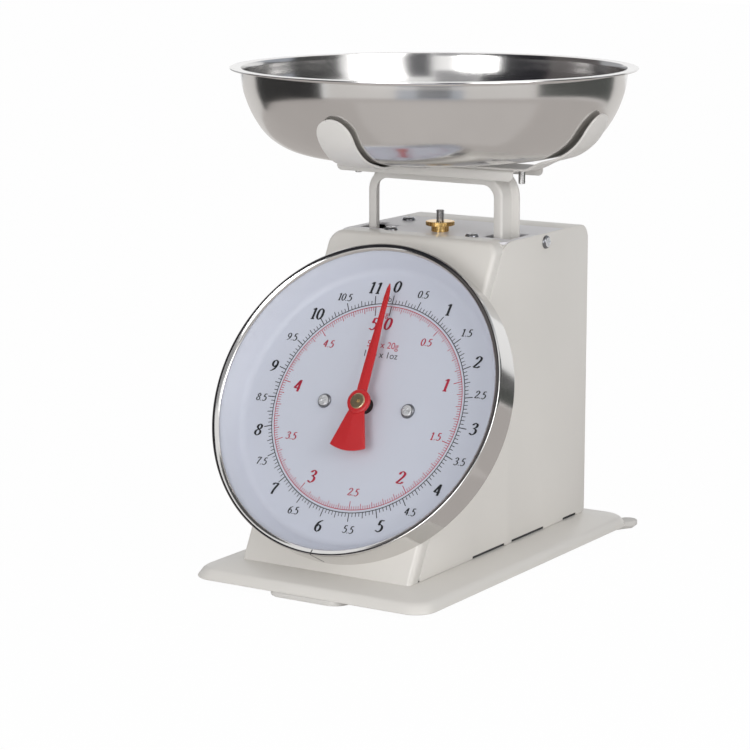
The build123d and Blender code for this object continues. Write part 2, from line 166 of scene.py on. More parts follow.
def card(name, sector, reach, heights, colour):
    """A curved card between two angles round the table, which shows in gloss only."""
    felt, tree, _ = new_material(name + "_felt")
    card_glow = add_node(tree, "Emission", {"Color": (*colour, 1)})
    feed(tree, tree.nodes["Material Output"], {"Surface": card_glow})
    bm = bmesh.new()
    sweep(bm, zip(reach, heights), sector[0], sector[1] - sector[0], 24)
    sheet = make_object(name, bm, felt)
    sheet.visible_camera = sheet.visible_diffuse = False
    sheet.visible_shadow = sheet.visible_transmission = False


card("right_gap", (4, 42), (2.6, 2.6), (0.0, 1.5), (0.07, 0.07, 0.07))
card("right_far_gap", (42, 72), (2.6, 2.6), (0.0, 0.65), (0.13, 0.13, 0.13))
card("right_upper", (42, 100), (2.6, 2.6), (0.65, 3.4), (0.42, 0.45, 0.50))
card("right_white", (-37, -3), (2.5, 2.5), (0.1, 2.2), (0.98, 0.98, 0.98))
card("lens_gap", (-57, -41), (2.7, 2.7), (0.0, 1.8), (0.10, 0.10, 0.11))
card("front_white", (-89, -60), (2.5, 2.5), (0.1, 1.12), (1.15, 1.15, 1.15))
card("front_upper", (-89, -60), (2.5, 2.5), (1.12, 2.6), (0.40, 0.40, 0.41))
card("left_gap", (-138, -91), (2.6, 2.6), (0.0, 3.4), (0.025, 0.025, 0.03))
card("left_wall", (-185, -138), (2.6, 2.6), (0.0, 2.6), (0.13, 0.12, 0.12))
card("back_wall", (140, 175), (2.6, 2.6), (0.0, 2.0), (0.45, 0.46, 0.48))
card("roof", (-180, 180), (0.0, 1.6), (3.4, 3.4), (0.10, 0.10, 0.10))
card("near_table", (-180, 180), (0.0, 0.8), (0.002, 0.002), (0.52, 0.49, 0.47))
card("near_glow", (-105, 5), (0.15, 0.62), (0.003, 0.003), (0.60, 0.57, 0.55))
card("far_table", (-122, 182), (0.8, 2.55), (0.002, 0.002), (0.74, 0.72, 0.70))
card("far_floor", (-188, -126), (0.74, 2.55), (0.003, 0.003), (0.035, 0.035, 0.035))
card("cool_patch", (-80, -42), (0.75, 1.05), (0.004, 0.004), (0.42, 0.46, 0.52))
card("dark_patch", (-68, -49), (0.82, 1.12), (0.005, 0.005), (0.13, 0.14, 0.16))
card("right_floor", (3, 72), (0.88, 2.5), (0.003, 0.003), (0.09, 0.095, 0.09))

# ---- camera
# A long lens from the front right, a little above the bowl's rim.
lens = bpy.data.cameras.new("camera")
lens.lens = 127.04
lens.sensor_width = 36
camera = bpy.data.objects.new("camera", lens)
camera.location = (0.80455, -1.32746, 0.40809)
camera.rotation_euler = (radians(90 - 10.91), 0, radians(32.28))
scene.collection.objects.link(camera)
scene.camera = camera

# ---- base tray
# One pressed sheet of 1.2 mm steel: a short steep skirt, a rounded bend, and a
# top that rises gently to the housing. Stove enamelled in warm off-white.


def tint(colour, share):
    """A colour made a little darker or paler, as a socket takes it."""
    return (*(min(c * share, 1) for c in colour), 1)


def vary(tree, body, colour, noise, shades, gloss):
    """Lets a noise drift a surface between two shades and two roughnesses."""
    tones = {"Factor": noise, "A": tint(colour, shades[0]), "B": tint(colour, shades[1])}
    span = {"Value": noise, "To Min": gloss[0], "To Max": gloss[1]}
    feed(tree, body, {
        "Base Color": add_node(tree, "Mix", tones, "Result", data_type="RGBA"),
        "Roughness": add_node(tree, "MapRange", span, "Result"),
    })


def roughen(tree, body, noise, strength, distance):
    """Lets a noise raise fine bumps on a surface."""
    bumps = {"Height": noise, "Strength": strength, "Distance": distance}
    feed(tree, body, {"Normal": add_node(tree, "Bump", bumps, "Normal")})


def noise_on(tree, place, scale, detail):
    """A noise at a scale per metre."""
    return add_node(tree, "TexNoise", {"Vector": place, "Scale": scale, "Detail": detail}, "Fac")


def enamel(name, colour, roughness=0.30, peel=0.10):
    """Baked paint: a faint orange peel and a slow drift in shade and gloss."""
    paint, tree, coat = new_material(name)
    feed(tree, coat, {"IOR": 1.48})
    place = add_node(tree, "TexCoord", {}, "Object")
    drift = noise_on(tree, place, 14, 3)
    vary(tree, coat, colour, drift, (0.975, 1.02), (roughness - 0.04, roughness + 0.05))
    roughen(tree, coat, noise_on(tree, place, 650, 2), peel, 0.0002)
    return paint


def stand_for(bm, name, body, material, slot, *cad_nodes):
    """Turns a shape drawn in millimetres into a piece that rides on its body."""
    bmesh.ops.scale(bm, vec=(MM, MM, MM), verts=bm.verts)
    piece = make_object(name, bm, material)
    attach(piece, body)
    if cad_nodes:
        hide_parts(*cad_nodes)
    return piece


def smooth(piece, angle=35):
    piece.data.shade_smooth()
    piece.data.set_sharp_from_angle(angle=radians(angle))
    return piece


def thicken(piece, thickness, bevel):
    """Gives a sheet its gauge and softens its cut edges, in millimetres."""
    gauge = piece.modifiers.new("gauge", "SOLIDIFY")
    gauge.thickness = thickness * MM
    gauge.offset = -1
    gauge.use_even_offset = True
    burr = piece.modifiers.new("burr", "BEVEL")
    burr.width = bevel * MM
    burr.segments = 2
    burr.limit_method = "ANGLE"
    burr.angle_limit = radians(50)


def sheet_piece(bm, name, body, material, slot, cad_node, gauge, burr, angle=40):
    """One sheet piece with its gauge and softened cut edges."""
    thicken(smooth(stand_for(bm, name, body, material, slot, cad_node), angle), gauge, burr)


def in_mm(box):
    """The two corners of a solid's box, from metres to millimetres."""
    return [Vector(corner) / MM for corner in box]


def extrude(bm, edges, move=(0, 0, 0)):
    """Extrudes edges by a straight move and returns the new points and the new edges."""
    grown = bmesh.ops.extrude_edge_only(bm, edges=edges)["geom"]
    verts = [g for g in grown if isinstance(g, bmesh.types.BMVert)]
    bmesh.ops.translate(bm, vec=move, verts=verts)
    return verts, [g for g in grown if isinstance(g, bmesh.types.BMEdge)]


def face_out(bm, sheet_out=None):
    """Turns all faces outwards, or an open sheet's largest face to one side."""
    bmesh.ops.recalc_face_normals(bm, faces=bm.faces)
    if sheet_out:
        sheet = max(bm.faces, key=lambda f: f.calc_area())
        if sheet.normal.dot(sheet_out) < 0:
            bmesh.ops.reverse_faces(bm, faces=bm.faces)


def round_off(bm, geometry, radius, segments, affect="EDGES"):
    """Rounds edges, or the corners of a flat outline."""
    bmesh.ops.bevel(
        bm, geom=geometry, offset=radius, segments=segments, profile=0.5, affect=affect, material=-1
    )


def rounded_ring(bm, x0, x1, y0, y1, z, corner):
    """A closed loop of edges round a rectangle with rounded corners."""
    spots = [(x0, y0), (x1, y0), (x1, y1), (x0, y1)]
    corners = [bm.verts.new((x, y, z)) for x, y in spots]
    face = bm.faces.new(corners)
    round_off(bm, corners, corner, 8, "VERTICES")
    face = max((f for f in bm.faces if f.is_valid), key=lambda f: f.calc_area())
    edges = list(face.edges)
    bmesh.ops.delete(bm, geom=[face], context="FACES_ONLY")
    return edges


def raise_ring(bm, edges, lift, scale_x=1.0, scale_y=1.0, middle_y=0.0):
    """Extrudes a loop of edges upwards and draws it in towards the middle."""
    verts, ring = extrude(bm, edges, (0, -middle_y, 0))
    bmesh.ops.scale(bm, vec=(scale_x, scale_y, 1), verts=verts)
    bmesh.ops.translate(bm, vec=(0, middle_y, lift), verts=verts)
    return ring


OFF_WHITE = (0.70, 0.675, 0.635)
housing_paint = enamel("housing_enamel", OFF_WHITE)
PAINTED = ("housing", housing_paint, "housing_paint")

TRAY_CORNER = 14
SKIRT_RISE = 5.2
SKIRT_SLOPE = 3.0
SEAT_HALF_W = 59.5
SEAT_HALF_D = 105.7
low, high = in_mm(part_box("base_tray"))
half_w = high.x
middle = (low.y + high.y) / 2
half_d = (high.y - low.y) / 2
bm = bmesh.new()
hem = rounded_ring(bm, -half_w, half_w, low.y, high.y, low.z, TRAY_CORNER)
bend_w, bend_d = half_w - SKIRT_SLOPE, half_d - SKIRT_SLOPE
bend = raise_ring(bm, hem, SKIRT_RISE, bend_w / half_w, bend_d / half_d, middle)
top_rise = high.z - low.z - SKIRT_RISE
rise = raise_ring(bm, bend, top_rise, SEAT_HALF_W / bend_w, SEAT_HALF_D / bend_d, middle)
bmesh.ops.contextual_create(bm, geom=rise)
face_out(bm)
round_off(bm, bend, 2.2, 4)
face_out(bm)
sheet_piece(bm, "tray_sheet", *PAINTED, "base_tray", 1.2, 0.35)

# ---- feet
# One wide moulded pad under the front edge and a lug at each back corner. They
# are cast in a plastic that matches the enamel, and stand on the table.


def moulded(name, colour, roughness=0.55):
    """Moulded plastic or dull primer, with a fine grain."""
    plastic, tree, body = new_material(name)
    grain = noise_on(tree, add_node(tree, "TexCoord", {}, "Object"), 900, 4)
    vary(tree, body, colour, grain, (0.93, 1.03), (roughness - 0.08, roughness + 0.08))
    roughen(tree, body, grain, 0.25, 0.0001)
    return plastic


def shift(bm, *move):
    """Moves a whole shape."""
    bmesh.ops.translate(bm, vec=move, verts=bm.verts)


foot_plastic = moulded("foot_plastic", (0.62, 0.60, 0.57))
PAD_MIDDLE_Y = -118
low, high = in_mm(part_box("front_foot"))
bm = bmesh.new()
pad_ring = rounded_ring(bm, low.x, high.x, low.y, high.y, 0, 10)
side = raise_ring(bm, pad_ring, 3.0)
shelf = raise_ring(bm, side, 0, 0.80, 0.55, PAD_MIDDLE_Y)
boss = raise_ring(bm, shelf, 4.2)
bmesh.ops.contextual_create(bm, geom=boss)
bmesh.ops.contextual_create(bm, geom=pad_ring)
face_out(bm)
round_off(bm, pad_ring + side, 0.7, 3)
smooth(stand_for(bm, "front_pad", "housing", foot_plastic, "foot_grey", "front_foot"))

LUG_LENGTH = 17.5
LUG_SOLE = 3.4
LUG_FLARE = 6.0
LUG_TURN = 59
bm = bmesh.new()
disc = bmesh.ops.create_circle(bm, cap_ends=True, segments=32, radius=LUG_SOLE)["verts"]
far = [v for v in disc if v.co.x > 0.01]
bmesh.ops.translate(bm, vec=(-LUG_LENGTH / 2, 0, 0), verts=disc)
bmesh.ops.translate(bm, vec=(LUG_LENGTH, 0, 0), verts=far)
sole = [e for e in bm.edges if e.is_boundary]
flare_verts, flare = extrude(bm, sole)
for vert in flare_verts:
    end = LUG_LENGTH / 2 if vert.co.x > 0 else -LUG_LENGTH / 2
    vert.co.x = end + (vert.co.x - end) * LUG_FLARE / LUG_SOLE
    vert.co.y *= LUG_FLARE / LUG_SOLE
    vert.co.z = 2.2
wall = raise_ring(bm, flare, 2.8)
bmesh.ops.contextual_create(bm, geom=wall)
face_out(bm)
round_off(bm, wall, 0.8, 3)
turn_about_z(bm, LUG_TURN, bm.verts)
shift(bm, 72.5, 113.5, 0)
bmesh.ops.mirror(bm, geom=bm.verts[:] + bm.edges[:] + bm.faces[:], axis="X", merge_dist=0.01)
face_out(bm)
smooth(stand_for(bm, "back_lugs", "housing", foot_plastic, "foot_grey", "rear_feet"))

# ---- front cover
# Folded 1 mm sheet whose face slopes back. The shoulders are rounded, the side
# returns tuck in front of the side panels, and a lip closes over the top.
spin_joint = joints["pointer_spin"]
dial_centre = Vector(spin_joint["pos_m"]) / MM
dial_out = -Vector(spin_joint["axis"]).normalized()
dial_up = dial_out.cross(Vector((1, 0, 0)))
dial_frame = Matrix((
    (1, dial_up.x, dial_out.x, dial_centre.x),
    (0, dial_up.y, dial_out.y, dial_centre.y),
    (0, dial_up.z, dial_out.z, dial_centre.z),
    (0, 0, 0, 1),
))
FACE_DEPTH = 18.8
COVER_HALF = 57.5
SHOULDER = 8.8
RETURN_DEPTH = 7.5
low, high = in_mm(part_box("front_cover"))
cover_top, cover_foot = high.z, low.z


def face_line_y(z, depth=FACE_DEPTH):
    """Y of the plane at this depth behind the bezel's front, at height z."""
    run = (z - dial_centre.z) * dial_out.z + depth
    return dial_centre.y + run / -dial_out.y


bm = bmesh.new()
outline = []
for x, z in ((-1, cover_foot), (1, cover_foot), (1, cover_top), (-1, cover_top)):
    outline.append(bm.verts.new((x * COVER_HALF, face_line_y(z), z)))
bm.faces.new(outline)
round_off(bm, outline[2:], 9, 10, "VERTICES")
bm.verts.ensure_lookup_table()
rim = [e for e in bm.edges if (e.verts[0].co.z + e.verts[1].co.z) / 2 > cover_foot + 1]
_, back_edges = extrude(bm, rim, (0, RETURN_DEPTH / -dial_out.y, 0))
flat = [e for e in back_edges if all(v.co.z > cover_top - SHOULDER for v in e.verts)]
for vert in extrude(bm, flat)[0]:
    reach = 5.5 if vert.co.z > cover_top - 1.3 else 11.5
    vert.co.y += reach * min(1, (vert.co.z - cover_top + SHOULDER) / 5)
face_out(bm)
round_off(bm, rim, 3.0, 6)
face_out(bm)
sheet_piece(bm, "cover_sheet", *PAINTED, "front_cover", 1.0, 0.25)

# ---- side panels
# Flat 1 mm sheets with rounded corners, screwed on below the top edge. Feet on
# the lower edge stand on the tray and leave thin dark gaps between them.
low, high = in_mm(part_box("side_panel_right"))
panel_back, panel_top, panel_foot = high.y, high.z, low.z
GAPS = [(88.6, 71.6), (47.3, 7.7), (-0.7, -38.4)]
GAP_HEIGHT = 1.6
PANEL_DEPTH = 26.6
for side_name, side in (("right", 1), ("left", -1)):
    bm = bmesh.new()
    spots = [
        (face_line_y(panel_foot, PANEL_DEPTH), panel_foot),
        (face_line_y(panel_top, PANEL_DEPTH), panel_top),
        (panel_back, panel_top),
        (panel_back, panel_foot),
    ]
    for far_y, near_y in GAPS:
        spots += [(far_y, panel_foot), (far_y, panel_foot + GAP_HEIGHT)]
        spots += [(near_y, panel_foot + GAP_HEIGHT), (near_y, panel_foot)]
    rim_verts = [bm.verts.new((side * COVER_HALF, y, z)) for y, z in spots]
    bm.faces.new(rim_verts)
    for verts, radius in ((rim_verts[1:3], 9.5), ([rim_verts[0], rim_verts[3]], 3.5)):
        round_off(bm, verts, radius, 8, "VERTICES")
    face_out(bm, (side, 0, 0))
    sheet_piece(bm, "panel_" + side_name, *PAINTED, "side_panel_" + side_name, 1.0, 0.48, 35)

# ---- back cover
# The back sheet rises straight, bends forward over a wide radius and meets the
# top plate. It is folded from the same enamelled sheet as the front.
low, high = in_mm(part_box("back_cover"))
bm = bmesh.new()
side_line = [(low.x, y, z) for y, z in ((high.y, low.z), (high.y, high.z), (low.y, high.z))]
extrude(bm, draw_line(bm, side_line)[1], (high.x - low.x, 0, 0))
fold = [e for e in bm.edges if all(v.co.y > high.y - 1 and v.co.z > 190 for v in e.verts)]
round_off(bm, fold, 10, 10)
face_out(bm, (0, 1, 0))
sheet_piece(bm, "back_sheet", *PAINTED, "back_cover", 1.0, 0.25)

# ---- top plate
# Flat sheet let in behind the cover's lip. Two L-shaped slots pass the bail, and
# the zero stud comes up through the middle. Its enamel is a shade cooler.
top_paint = enamel("top_enamel", (0.74, 0.73, 0.755), 0.36)
low, high = in_mm(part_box("top_plate"))
WIDE_SLOT = (33.5, 52.25, 11.0, 29.0)
NARROW_SLOT = (45.25, 52.25, 29.0, 35.5)
CUT_CORNER = 6
TAB_DEPTH = 7


def cut_across(bm, place, normal):
    """Divides every face that a plane meets."""
    bmesh.ops.bisect_plane(
        bm, geom=bm.verts[:] + bm.edges[:] + bm.faces[:], plane_co=place, plane_no=normal
    )


bm = bmesh.new()
spots = [(low.x, low.y), (high.x, low.y), (high.x, high.y), (low.x, high.y)]
sheet_corners = [bm.verts.new((x, y, high.z)) for x, y in spots]
bm.faces.new(sheet_corners)
round_off(bm, sheet_corners[:2], CUT_CORNER, 4, "VERTICES")
slots = (WIDE_SLOT, NARROW_SLOT)
for x in sorted({side * x for slot in slots for x in slot[:2] for side in (-1, 1)}):
    cut_across(bm, (x, 0, 0), (1, 0, 0))
for y in sorted({y for slot in slots for y in slot[2:]}):
    cut_across(bm, (0, y, 0), (0, 1, 0))


def in_slot(spot):
    return any(x0 < abs(spot.x) < x1 and y0 < spot.y < y1 for x0, x1, y0, y1 in slots)


holes = [face for face in bm.faces if in_slot(face.calc_center_median())]
bmesh.ops.delete(bm, geom=holes, context="FACES")
side_start, front_end = high.x - CUT_CORNER - 0.05, low.y + CUT_CORNER + 0.05
cut_corners = [
    e for e in bm.edges
    if e.is_boundary and all(abs(v.co.x) > side_start and v.co.y < front_end for v in e.verts)
]
extrude(bm, cut_corners, (0, 0, -TAB_DEPTH))
top = stand_for(bm, "top_sheet", "housing", top_paint, "top_paint", "top_plate")
thicken(top, 1.5, 0.3)

# ---- chassis
# The frame inside: two cheeks joined by rails, with flanges bolted to the tray.
# Its near-black primer is painted shade, which keeps it dark where it shows
# through the slots. The housing's enamel oversprays its front top corners, and
# the dial's pan is enamelled with the housing.
SPRAY_BACK = 0.006
SPRAY_FOOT = 0.180
# Near-black coat that is painted shade for the frame seen through the slots.
shade_primer = moulded("painted_shade_primer", (0.030, 0.030, 0.032), 0.6)
tree = shade_primer.node_tree
shade_primer_body = tree.nodes["Principled BSDF"]
bare_shade_tone = shade_primer_body.inputs["Base Color"].links[0].from_socket
spot = add_node(tree, "TexCoord", {}, "Object")
axes = tree.nodes.new("ShaderNodeSeparateXYZ")
feed(tree, axes, {"Vector": spot})
in_front = add_node(tree, "Math", {0: axes.outputs["Y"], 1: SPRAY_BACK}, operation="LESS_THAN")
near_top = add_node(tree, "Math", {0: axes.outputs["Z"], 1: SPRAY_FOOT}, operation="GREATER_THAN")
sprayed = add_node(tree, "Math", {0: in_front, 1: near_top}, operation="MULTIPLY")
coats = {"Factor": sprayed, "A": bare_shade_tone, "B": (*OFF_WHITE, 1)}
overspray = add_node(tree, "Mix", coats, "Result", data_type="RGBA")
feed(tree, shade_primer_body, {"Base Color": overspray})


def finish_solids(material, *cad_nodes):
    """Gives solids that show as they are their finish."""
    for node in cad_nodes:
        frame["nodes"][node].material_slots[0].material = material


finish_solids(shade_primer, "chassis_frame")
finish_solids(housing_paint, "dial_case")

# ---- screws
# Chromed pan heads, cold headed with a cross recess. One size holds the top plate
# and the side panels, and a wider and flatter one holds the dial. Each crown is a
# pale copy of the chrome and each skirt a dark copy: painted highlight and painted shade.


def metal(name, colour, roughness, brushed=0.0, turned_about=None, scale=2400):
    """Bare or plated metal, with fine tool lines round an axis where it was turned."""
    alloy, tree, body = new_material(name)
    feed(tree, body, {"Metallic": 1})
    place = add_node(tree, "TexCoord", {}, "Object")
    glossiest = max(roughness - 0.03, 0.01)
    cloud = noise_on(tree, place, 35, 4)
    vary(tree, body, colour, cloud, (0.94, 1.03), (glossiest, roughness + 0.04))
    if brushed:
        from_axis = (turned_about or Matrix.Identity(4)).inverted()
        seat = {"Location": from_axis.to_translation(), "Rotation": from_axis.to_euler()}
        seated = add_node(tree, "Mapping", {"Vector": place, **seat}, vector_type="POINT")
        split = tree.nodes.new("ShaderNodeSeparateXYZ")
        feed(tree, split, {"Vector": seated})
        x, y, z = split.outputs
        flat = add_node(tree, "CombineXYZ", {"X": x, "Y": y})
        radius = add_node(tree, "VectorMath", {0: flat}, "Value", operation="LENGTH")
        rings = add_node(tree, "CombineXYZ", {"X": radius, "Y": z})
        roughen(tree, body, noise_on(tree, rings, scale, 3), brushed, 0.00005)
    return alloy


def spun(profile, steps=96, closed=False):
    """A shape turned about Z from points (radius, height), in millimetres."""
    bm = bmesh.new()
    line, edges = draw_line(bm, [(r, 0, z) for r, z in profile])
    if closed:
        edges.append(bm.edges.new((line[-1], line[0])))
    bmesh.ops.spin(
        bm, geom=line + edges, cent=(0, 0, 0), axis=(0, 0, 1), angle=2 * pi, steps=steps,
        use_merge=True,
    )
    bmesh.ops.remove_doubles(bm, verts=bm.verts, dist=0.0005)
    face_out(bm)
    return bm


def extrude_faces(bm, faces):
    """Extrudes a patch of faces in place and returns its new points."""
    grown = bmesh.ops.extrude_face_region(bm, geom=faces)["geom"]
    return [g for g in grown if isinstance(g, bmesh.types.BMVert)]


def cross_recess(bm, width, length, depth, top):
    """Sinks a cross into the flat of a head, by lowering the faces under it."""
    for angle in (0, pi / 2):
        direction = Matrix.Rotation(angle, 4, "Z") @ Vector((1, 0, 0))
        for edge in (-width / 2, width / 2):
            cut_across(bm, direction * edge, direction)
    sunk = []
    for face in bm.faces:
        spot = face.calc_center_median()
        in_cross = min(abs(spot.x), abs(spot.y)) < width / 2
        if in_cross and max(abs(spot.x), abs(spot.y)) < length / 2 and face.normal.z > 0.5:
            sunk.append(face)
    floor = extrude_faces(bm, sunk)
    bmesh.ops.delete(bm, geom=sunk, context="FACES")
    for vert in floor:
        vert.co.z = top - depth * (1 - 0.5 * vert.co.xy.length / length)


# The flat crown of one head and the rounded edge round it, as shares of the
# head's radius and height.
CROWN = [(0, 1), (0.3, 0.985), (0.55, 0.93), (0.72, 0.84), (0.74, 0.4), (0, 0.4)]
SKIRT = [(0.71, 0.80), (0.80, 0.74), (0.92, 0.52), (0.985, 0.25), (1, 0.08), (0.97, 0), (0.71, 0)]


def pan_crown(radius, height):
    """The crown with its recess, over Z = 0."""
    bm = spun([(radius * r, height * z) for r, z in CROWN], 40)
    cross_recess(bm, radius * 0.28, radius * 1.1, height * 0.55, height)
    face_out(bm)
    return bm


def pan_skirt(radius, height):
    """The edge round the crown."""
    return spun([(radius * r, height * z) for r, z in SKIRT], 40, closed=True)


def add_mesh(bm, mesh):
    """Adds a mesh to a shape and returns its points."""
    known = set(bm.verts)
    bm.from_mesh(mesh)
    return [v for v in bm.verts if v not in known]


def absorb(bm, shape):
    """Adds one shape to another and returns its points."""
    loose = bpy.data.meshes.new("loose")
    shape.to_mesh(loose)
    shape.free()
    fresh = add_mesh(bm, loose)
    bpy.data.meshes.remove(loose)
    return fresh


def set_heads(name, radius, height, seats, *cad_nodes):
    """Puts one head on each seat, given as a matrix in millimetres."""
    halves = (("crowns", pan_crown, crown_highlight_chrome), ("skirts", pan_skirt, skirt_shade_chrome))
    for part, draw, material in halves:
        bm = bmesh.new()
        for seat in seats:
            bmesh.ops.transform(bm, matrix=seat, verts=absorb(bm, draw(radius, height)))
        piece = stand_for(bm, name + "_" + part, "housing", material, "screw_chrome", *cad_nodes)
        smooth(piece, 30)


# Pale, half-metallic chrome for the crowns is painted highlight. Dark chrome for the skirts is
# painted shade.
crown_highlight_chrome = metal("crown_highlight_chrome", (0.82, 0.825, 0.84), 0.38)
tree = crown_highlight_chrome.node_tree
feed(tree, tree.nodes["Principled BSDF"], {"Metallic": 0.5})
skirt_shade_chrome = metal("skirt_shade_chrome", (0.24, 0.245, 0.26), 0.28)


def seat_at(spot, degrees, axis="Z"):
    """The place of a head and how far it is turned."""
    return Matrix.Translation(spot) @ Matrix.Rotation(radians(degrees), 4, axis)


SIDE_SCREW_Y, SIDE_SCREW_Z = 45, 188
DIAL_SCREW_X = 28.5
DISH_Z = -17.0
low, high = in_mm(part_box("top_plate"))
top_turns = ((-28, 8.5, 20), (28, 8.5, -35), (-42.5, 52.5, 50), (30, 52.5, 10))
top_seats = [seat_at((x, y, high.z), turn) for x, y, turn in top_turns]
set_heads("top", 4.0, 2.3, top_seats, "top_screws")
side_spots = [(side * COVER_HALF, SIDE_SCREW_Y, SIDE_SCREW_Z) for side in (-1, 1)]
side_seats = [seat_at(spot, 90 if spot[0] > 0 else -90, "Y") for spot in side_spots]
set_heads("side", 4.0, 2.3, side_seats, "side_screws")
dial_turns = ((-DIAL_SCREW_X, 25), (DIAL_SCREW_X, -15))
dial_seats = [dial_frame @ seat_at((x, 0, DISH_Z), turn) for x, turn in dial_turns]
set_heads("dial", 4.4, 2.1, dial_seats, "dial_screws")

steel = metal("plain_steel", (0.55, 0.55, 0.56), 0.32, 0.2)
finish_solids(steel, "base_screws")

# ---- dial case
# The pan that holds the dial, drawn from sheet. Its flat back is screwed to the
# cover, and its wall is hidden by the bezel.


def on_dial(bm, *particulars):
    """Stands a shape, drawn flat about Z, on the sloping dial."""
    bmesh.ops.transform(bm, matrix=dial_frame, verts=bm.verts)
    return stand_for(bm, *particulars)


case = spun([(4.6, -17.8), (92.1, -17.8), (92.1, -3.4), (93.1, -3.4), (93.1, -18.0),
             (92.3, -18.8), (4.6, -18.8)], 160, closed=True)
smooth(on_dial(case, "dial_pan", *PAINTED, "dial_case"))

# ---- dial plate
# A dished disc of enamelled sheet: flat in the middle, with a sloping rim that
# rises to the bezel. Cool white, with a soft sheen.
DISH_R = 83.0
dial_white = enamel("dial_enamel", (0.655, 0.68, 0.765), 0.45, 0.05)
rim_points = []
for step in range(7):
    angle = radians(step * 10)
    rim_points.append((DISH_R - 3.2 + 5.5 * sin(angle), DISH_Z + 5.5 * (1 - cos(angle))))
dish = [(4.8, -17.8), (4.8, DISH_Z), (40, DISH_Z), (70, DISH_Z)] + rim_points
dish += [(90.2, -2.9), (90.8, -2.62), (93.1, -2.6), (93.1, -3.4), (91, -3.4), (83.4, -17.8)]
plate = spun(dish, 160, closed=True)
smooth(on_dial(plate, "dial_sheet", "housing", dial_white, "dial_enamel", "dial_plate"), 50)

# A near-black disc in the plate's centre hole: painted shade in the hole.
hole_shade = bmesh.new()
bmesh.ops.create_circle(
    hole_shade, cap_ends=True, segments=40, radius=4.9, matrix=Matrix.Translation((0, 0, -17.7))
)
on_dial(hole_shade, "spindle_hole_shade", "housing", shade_primer, "housing_paint")

# ---- dial markings
# Screen printed on the plate: pounds in black outside a pair of circles, and
# kilograms in red inside them. One turn short of ten degrees is 11 pounds.
PRINT_Z = DISH_Z + 0.04
PRINT_SHIFT = Vector((0.6, -0.6, 0))
POUND_RING = 63.4
KILO_RING = 61.7
TURN = 0.8
POUND = 31.78
KILO = POUND * 2.20462
LEAN = 0.15
POINT_WIDTH = 0.36


def ink(name, colour):
    """A thin matt screen print, a little uneven in its density."""
    print_ink, tree, body = new_material(name)
    place = add_node(tree, "TexCoord", {}, "Object")
    grain = add_node(tree, "TexNoise", {"Vector": place, "Scale": 1500}, "Fac")
    pale = (*(c * 1.15 + 0.004 for c in colour), 1)
    tones = {"Factor": grain, "A": tint(colour, 0.9), "B": pale}
    tone = add_node(tree, "Mix", tones, "Result", data_type="RGBA")
    feed(tree, body, {"Base Color": tone, "Roughness": 0.5})
    return print_ink


def polar(radius, degrees_from_top):
    angle = radians(degrees_from_top)
    return Vector((radius * sin(angle), radius * cos(angle), PRINT_Z)) + PRINT_SHIFT


def tick(bm, angle, inner, outer, width):
    """One radial line of the graduation."""
    square = bmesh.ops.create_grid(bm, x_segments=1, y_segments=1, size=0.5)["verts"]
    bmesh.ops.scale(bm, vec=(width, outer - inner, 1), verts=square)
    turn = Matrix.Rotation(radians(-angle), 4, "Z")
    middle_spot = Matrix.Translation(polar((inner + outer) / 2, angle))
    bmesh.ops.transform(bm, matrix=middle_spot @ turn, verts=square)


def ring_line(bm, radius, width):
    """One printed circle."""
    across = (radius - width / 2, radius + width / 2)
    start, edges = draw_line(bm, [PRINT_SHIFT + Vector((x, 0, PRINT_Z)) for x in across])
    bmesh.ops.spin(
        bm, geom=start + edges, cent=PRINT_SHIFT, axis=(0, 0, 1), angle=2 * pi, steps=240,
        use_merge=True,
    )


# Each figure is a list of pen strokes on a field 0.6 wide and 1 high. The flag
# says whether the stroke is a curve through its points or straight runs.
FIGURES = {
    "0": [(True, [(0.3, 1), (0.12, 0.86), (0.05, 0.5), (0.12, 0.14), (0.3, 0),
                  (0.48, 0.14), (0.55, 0.5), (0.48, 0.86), (0.3, 1)])],
    "1": [(False, [(0.14, 0.84), (0.34, 1), (0.34, 0)]), (False, [(0.16, 0), (0.52, 0)])],
    "2": [(True, [(0.07, 0.74), (0.12, 0.92), (0.3, 1), (0.5, 0.9), (0.5, 0.68),
                  (0.34, 0.42), (0.05, 0.04)]), (False, [(0.05, 0.03), (0.5, 0.03), (0.56, 0.18)])],
    "3": [(True, [(0.08, 0.82), (0.17, 0.96), (0.32, 1), (0.48, 0.9), (0.46, 0.68),
                  (0.24, 0.54)]),
          (True, [(0.24, 0.54), (0.48, 0.46), (0.53, 0.24), (0.4, 0.04), (0.18, 0),
                  (0.04, 0.12)])],
    "4": [(False, [(0.42, 1), (0.03, 0.3), (0.57, 0.3)]), (False, [(0.42, 1), (0.42, 0)])],
    "5": [(False, [(0.54, 1), (0.2, 1), (0.14, 0.58)]),
          (True, [(0.14, 0.58), (0.36, 0.62), (0.53, 0.44), (0.5, 0.16), (0.28, 0),
                  (0.03, 0.1)])],
    "6": [(True, [(0.52, 0.99), (0.28, 0.86), (0.1, 0.56), (0.07, 0.24), (0.2, 0.03),
                  (0.4, 0.03), (0.53, 0.24), (0.46, 0.5), (0.28, 0.58), (0.1, 0.42)])],
    "7": [(False, [(0.06, 0.82), (0.1, 0.98), (0.56, 0.98)]),
          (True, [(0.56, 0.98), (0.38, 0.62), (0.26, 0.3), (0.22, 0)])],
    "8": [(True, [(0.3, 0.54), (0.13, 0.66), (0.13, 0.88), (0.3, 1), (0.47, 0.88),
                  (0.47, 0.66), (0.3, 0.54)]),
          (True, [(0.3, 0.54), (0.08, 0.38), (0.08, 0.14), (0.3, 0), (0.52, 0.14),
                  (0.52, 0.38), (0.3, 0.54)])],
    ".": [(False, [(0.12, 0), (0.16, 0.08)])],
}
FIGURES["9"] = [(curved, [(0.6 - x, 1 - y) for x, y in line]) for curved, line in FIGURES["6"]]


